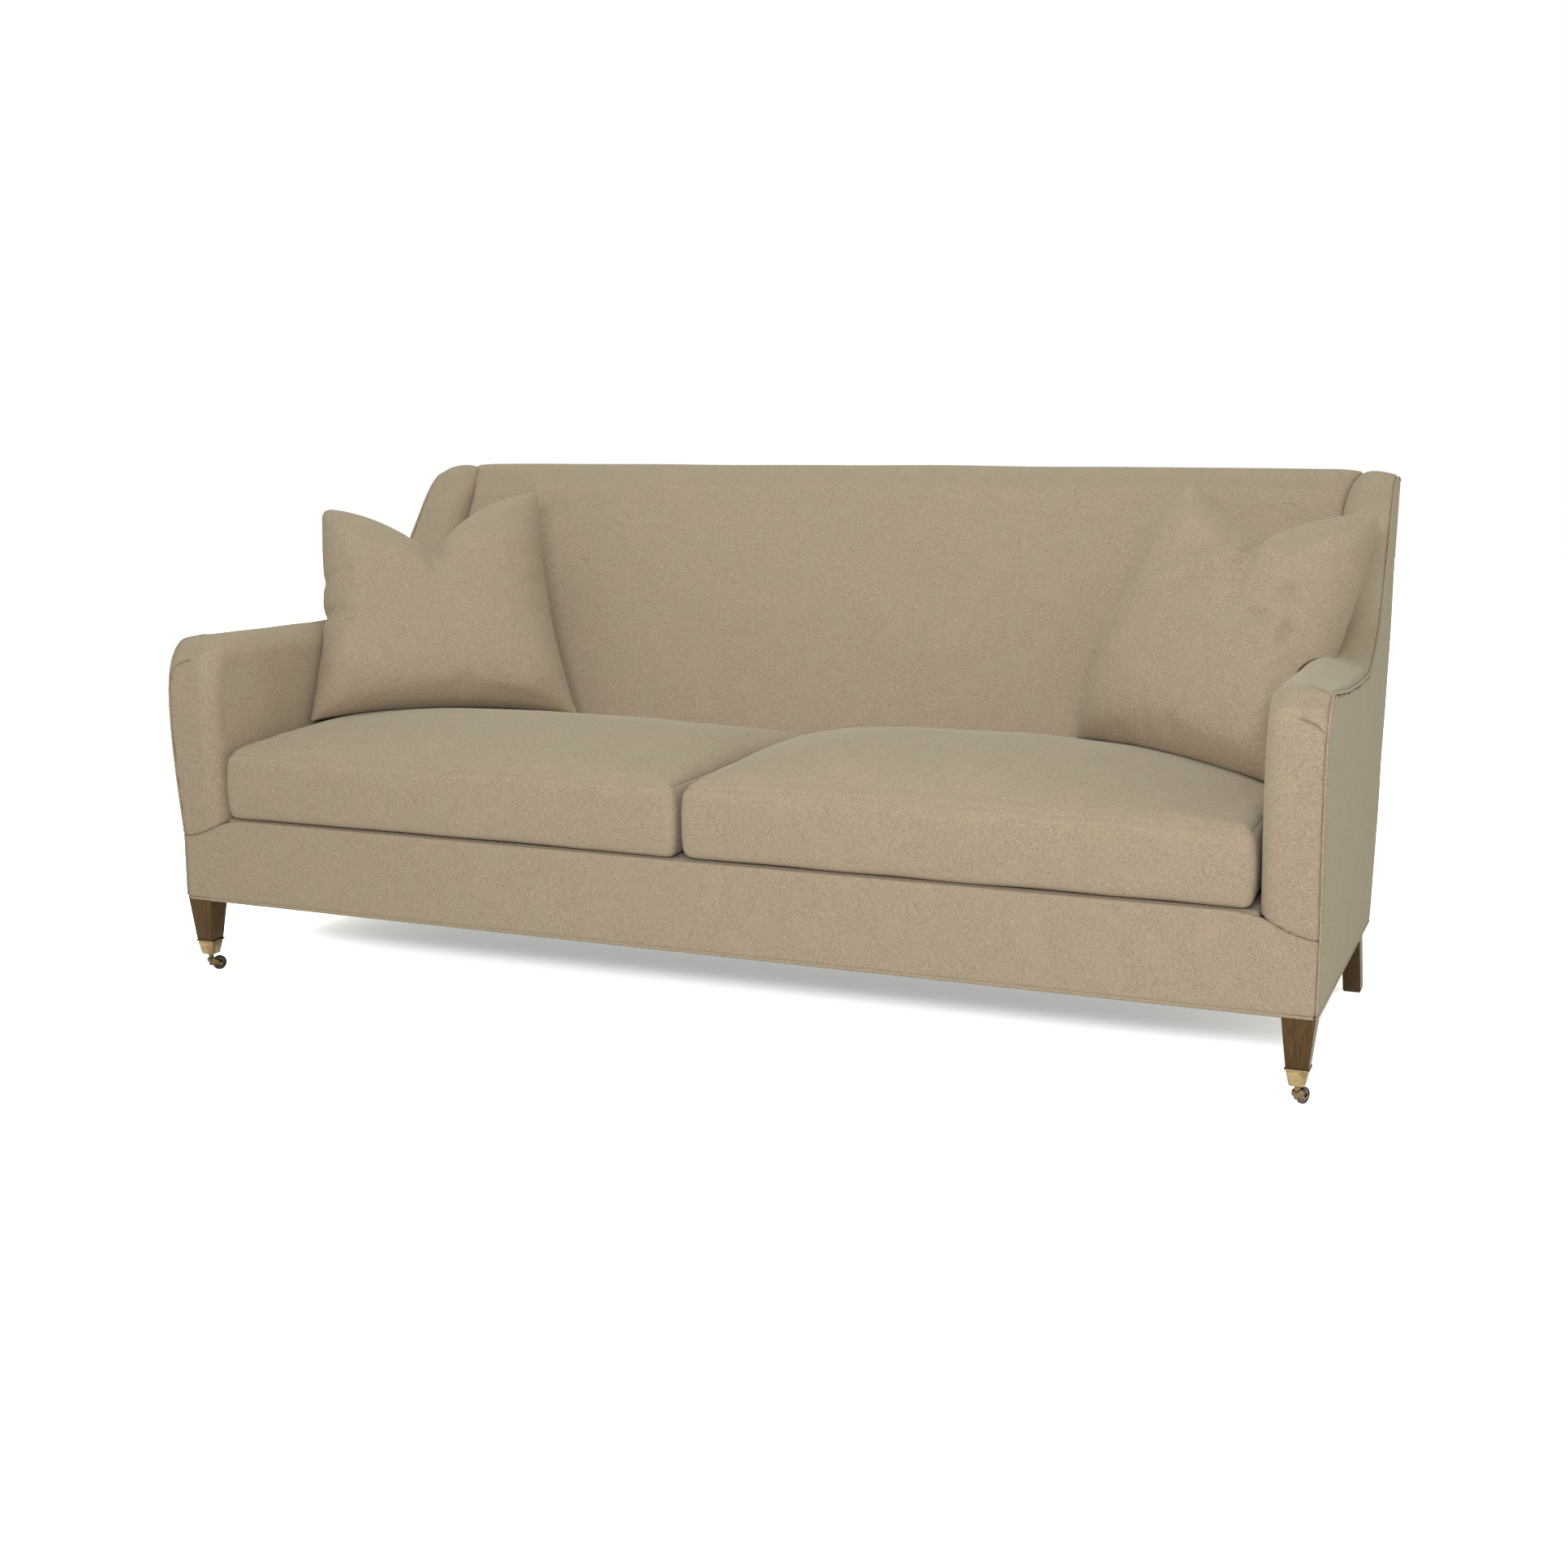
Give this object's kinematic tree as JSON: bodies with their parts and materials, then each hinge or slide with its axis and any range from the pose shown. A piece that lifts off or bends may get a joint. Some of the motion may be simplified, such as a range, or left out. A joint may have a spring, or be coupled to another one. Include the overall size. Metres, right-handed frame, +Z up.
{
  "type": "wing-back sofa",
  "caption": "Low upholstered wing-back sofa with slim arms, loose seat cushions and throw pillows, on tapered front legs with brass casters and splayed rear legs.",
  "frame": {"origin": "middle of the footprint on the floor, under the centre of the bounding box", "axes": "+X to the right as seen from the front, +Y from the front to the back, +Z up"},
  "size_m": [2.1006, 1.0162, 0.95],
  "materials": {
    "hardwood_frame": "rough-sawn kiln-dried hardwood, unfinished",
    "spring_steel": "oiled spring steel and zinc-plated screws",
    "jute_webbing": "woven jute and fibre insulator",
    "foam": "open-cell foam with a fibre wrap",
    "linen_tweed": "heathered oatmeal linen tweed, plain weave, self welts",
    "dust_cloth": "black spun-bonded dust cloth",
    "walnut": "dark walnut stain under satin lacquer",
    "antique_brass": "antique brass, darkened in the recesses",
    "dark_bronze": "dark bronzed brass wheel"
  },
  "bodies": {
    "sofa": {"front_rail": "hardwood_frame", "back_rail": "hardwood_frame", "back_lower_rail": "hardwood_frame", "back_top_rail": "hardwood_frame", "back_upright": "hardwood_frame", "seat_stretcher_right": "hardwood_frame", "seat_stretcher_left": "hardwood_frame", "corner_block_right": "hardwood_frame", "corner_block_left": "hardwood_frame", "arm_post_right": "hardwood_frame", "arm_post_left": "hardwood_frame", "side_rail_right": "hardwood_frame", "side_rail_left": "hardwood_frame", "arm_rail_right": "hardwood_frame", "arm_rail_left": "hardwood_frame", "back_post_right": "hardwood_frame", "back_post_left": "hardwood_frame", "wing_board_right": "hardwood_frame", "wing_board_left": "hardwood_frame", "seat_springs": "spring_steel", "spring_clip_strip_front": "spring_steel", "spring_clip_strip_rear": "spring_steel", "front_leg_bolt_right": "spring_steel", "front_leg_bolt_left": "spring_steel", "rear_leg_bolt_right": "spring_steel", "rear_leg_bolt_left": "spring_steel", "spring_insulator": "jute_webbing", "back_webbing": "jute_webbing", "arm_and_wing_foam_right": "foam", "arm_and_wing_foam_left": "foam", "back_foam": "foam", "seat_deck": "linen_tweed", "arm_and_wing_cover_right": "linen_tweed", "arm_and_wing_cover_left": "linen_tweed", "outside_arm_panel_right": "linen_tweed", "outside_arm_panel_left": "linen_tweed", "arm_welt_right": "linen_tweed", "arm_welt_left": "linen_tweed", "front_rail_cover": "linen_tweed", "base_welt": "linen_tweed", "inside_back_cover": "linen_tweed", "outside_back_cover": "linen_tweed", "dust_cover": "dust_cloth", "front_leg_right": "walnut", "front_leg_left": "walnut", "rear_leg_right": "walnut", "rear_leg_left": "walnut", "caster_cup_right": "antique_brass", "caster_cup_left": "antique_brass"},
    "caster_left": {"caster_horn_left": "antique_brass", "caster_axle_left": "antique_brass"},
    "wheel_left": {"caster_wheel_left": "dark_bronze"},
    "caster_right": {"caster_horn_right": "antique_brass", "caster_axle_right": "antique_brass"},
    "wheel_right": {"caster_wheel_right": "dark_bronze"},
    "cushion_left": {"seat_cushion_left": "linen_tweed"},
    "cushion_right": {"seat_cushion_right": "linen_tweed"},
    "pillow_left": {"throw_pillow_left": "linen_tweed"},
    "pillow_right": {"throw_pillow_right": "linen_tweed"}
  },
  "joints": [
    {"name": "caster_swivel_left", "type": "hinge", "parent": "sofa", "child": "caster_left", "pos_m": [-1.0205, -0.45758, 0.034], "axis": [0, 0, 1], "continuous": true},
    {"name": "caster_roll_left", "type": "hinge", "parent": "caster_left", "child": "wheel_left", "pos_m": [-1.01349, -0.4432, 0.0135], "axis": [0.8988, -0.4384, 0], "continuous": true},
    {"name": "caster_swivel_right", "type": "hinge", "parent": "sofa", "child": "caster_right", "pos_m": [1.0205, -0.45758, 0.034], "axis": [0, 0, 1], "continuous": true},
    {"name": "caster_roll_right", "type": "hinge", "parent": "caster_right", "child": "wheel_right", "pos_m": [1.02751, -0.4432, 0.0135], "axis": [0.8988, -0.4384, 0], "continuous": true},
    {"name": "seat_cushion_lift_left", "type": "slide", "parent": "sofa", "child": "cushion_left", "axis": [0, 0, 1], "range_m": [0, 0.66]},
    {"name": "seat_cushion_lift_right", "type": "slide", "parent": "sofa", "child": "cushion_right", "axis": [0, 0, 1], "range_m": [0, 0.66]},
    {"name": "throw_pillow_lift_left", "type": "slide", "parent": "cushion_left", "child": "pillow_left", "axis": [0, 0, 1], "range_m": [0, 0.52]},
    {"name": "throw_pillow_lift_right", "type": "slide", "parent": "cushion_right", "child": "pillow_right", "axis": [0, 0, 1], "range_m": [0, 0.52]}
  ]
}
